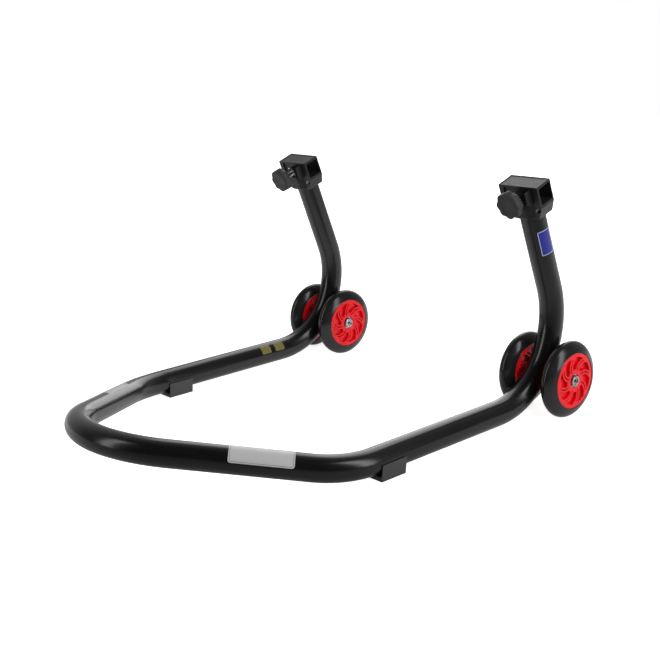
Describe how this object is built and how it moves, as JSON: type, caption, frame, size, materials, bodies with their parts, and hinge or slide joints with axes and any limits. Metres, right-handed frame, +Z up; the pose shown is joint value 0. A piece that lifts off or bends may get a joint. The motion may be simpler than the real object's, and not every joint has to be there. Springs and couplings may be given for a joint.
{
  "type": "motorcycle paddock stand",
  "caption": "Rear lift stand: a bent tube lever frame on small wheels, with rubber feet and leaning uprights that carry clamped sockets for square adapter bars.",
  "frame": {"origin": "on the floor under the middle of the overall length, in the plane of symmetry of the frame tube", "axes": "+Z up, +Y from the lever handle towards the wheels, +X towards the right-hand leg when looking along +Y"},
  "size_m": [0.5194, 0.61, 0.3108],
  "materials": {
    "powder_coat": "satin black powder coat",
    "wheel_red": "smooth red nylon",
    "tyre_black": "smooth cast polyurethane",
    "head_plastic": "fine grained glass-filled nylon",
    "knob_plastic": "fine grained",
    "foot_rubber": "matt moulded rubber",
    "zinc": "bright zinc plate",
    "bearing_steel": "ground steel",
    "brass": "turned brass",
    "pad_nylon": "natural nylon"
  },
  "bodies": {
    "stand": {"frame_tube": "powder_coat", "right_foot": "foot_rubber", "right_foot_screw": "zinc", "left_foot": "foot_rubber", "left_foot_screw": "zinc", "right_axle_barrel": "zinc", "right_axle_screw": "zinc", "right_axle_sleeve": "powder_coat", "left_axle_barrel": "zinc", "left_axle_screw": "zinc", "left_axle_sleeve": "powder_coat", "right_outer_wheel_far_bearing_inner_ring": "bearing_steel", "right_outer_wheel_near_bearing_inner_ring": "bearing_steel", "right_outer_wheel_spacer": "zinc", "right_outer_wheel_washer": "zinc", "right_inner_wheel_far_bearing_inner_ring": "bearing_steel", "right_inner_wheel_near_bearing_inner_ring": "bearing_steel", "right_inner_wheel_spacer": "zinc", "right_inner_wheel_washer": "zinc", "left_inner_wheel_far_bearing_inner_ring": "bearing_steel", "left_inner_wheel_near_bearing_inner_ring": "bearing_steel", "left_inner_wheel_spacer": "zinc", "left_inner_wheel_washer": "zinc", "left_outer_wheel_far_bearing_inner_ring": "bearing_steel", "left_outer_wheel_near_bearing_inner_ring": "bearing_steel", "left_outer_wheel_spacer": "zinc", "left_outer_wheel_washer": "zinc", "right_head_body": "head_plastic", "right_thread_insert": "brass", "right_collar_screw": "zinc", "left_head_body": "head_plastic", "left_thread_insert": "brass", "left_collar_screw": "zinc"},
    "right_outer_wheel": {"right_outer_wheel_core": "wheel_red", "right_outer_wheel_tyre": "tyre_black", "right_outer_wheel_far_bearing_outer_ring": "bearing_steel", "right_outer_wheel_near_bearing_outer_ring": "bearing_steel"},
    "right_inner_wheel": {"right_inner_wheel_core": "wheel_red", "right_inner_wheel_tyre": "tyre_black", "right_inner_wheel_far_bearing_outer_ring": "bearing_steel", "right_inner_wheel_near_bearing_outer_ring": "bearing_steel"},
    "left_inner_wheel": {"left_inner_wheel_core": "wheel_red", "left_inner_wheel_tyre": "tyre_black", "left_inner_wheel_far_bearing_outer_ring": "bearing_steel", "left_inner_wheel_near_bearing_outer_ring": "bearing_steel"},
    "left_outer_wheel": {"left_outer_wheel_core": "wheel_red", "left_outer_wheel_tyre": "tyre_black", "left_outer_wheel_far_bearing_outer_ring": "bearing_steel", "left_outer_wheel_near_bearing_outer_ring": "bearing_steel"},
    "right_pad": {"right_clamp_pad": "pad_nylon"},
    "right_knob": {"right_clamp_knob": "knob_plastic", "right_clamp_stud": "zinc"},
    "left_pad": {"left_clamp_pad": "pad_nylon"},
    "left_knob": {"left_clamp_knob": "knob_plastic", "left_clamp_stud": "zinc"}
  },
  "joints": [
    {"name": "right_outer_wheel_spin", "type": "hinge", "parent": "stand", "child": "right_outer_wheel", "pos_m": [0.2462, 0.25561, 0.05], "axis": [1, 0, 0], "continuous": true},
    {"name": "right_inner_wheel_spin", "type": "hinge", "parent": "stand", "child": "right_inner_wheel", "pos_m": [0.1788, 0.25561, 0.05], "axis": [1, 0, 0], "continuous": true},
    {"name": "left_inner_wheel_spin", "type": "hinge", "parent": "stand", "child": "left_inner_wheel", "pos_m": [-0.1788, 0.25561, 0.05], "axis": [1, 0, 0], "continuous": true},
    {"name": "left_outer_wheel_spin", "type": "hinge", "parent": "stand", "child": "left_outer_wheel", "pos_m": [-0.2462, 0.25561, 0.05], "axis": [1, 0, 0], "continuous": true},
    {"name": "right_pad_slide", "type": "slide", "parent": "stand", "child": "right_pad", "axis": [0, 0.9385, 0.3453], "range_m": [-0.007, 0.004]},
    {"name": "right_knob_turn", "type": "hinge", "parent": "right_pad", "child": "right_knob", "pos_m": [0.2125, 0.18417, 0.2826], "axis": [0, 0.9385, 0.3453], "range_deg": [-2016.1, 1152.1]},
    {"name": "left_pad_slide", "type": "slide", "parent": "stand", "child": "left_pad", "axis": [0, 0.9385, 0.3453], "range_m": [0, 0.011]},
    {"name": "left_knob_turn", "type": "hinge", "parent": "left_pad", "child": "left_knob", "pos_m": [-0.2125, 0.18417, 0.2826], "axis": [0, 0.9385, 0.3453], "range_deg": [-0.1, 3168.1]}
  ],
  "couplings": [
    {"joint": "right_knob_turn", "follows": "right_pad_slide", "rad_per_m": 5026.5},
    {"joint": "left_knob_turn", "follows": "left_pad_slide", "rad_per_m": 5026.5}
  ]
}
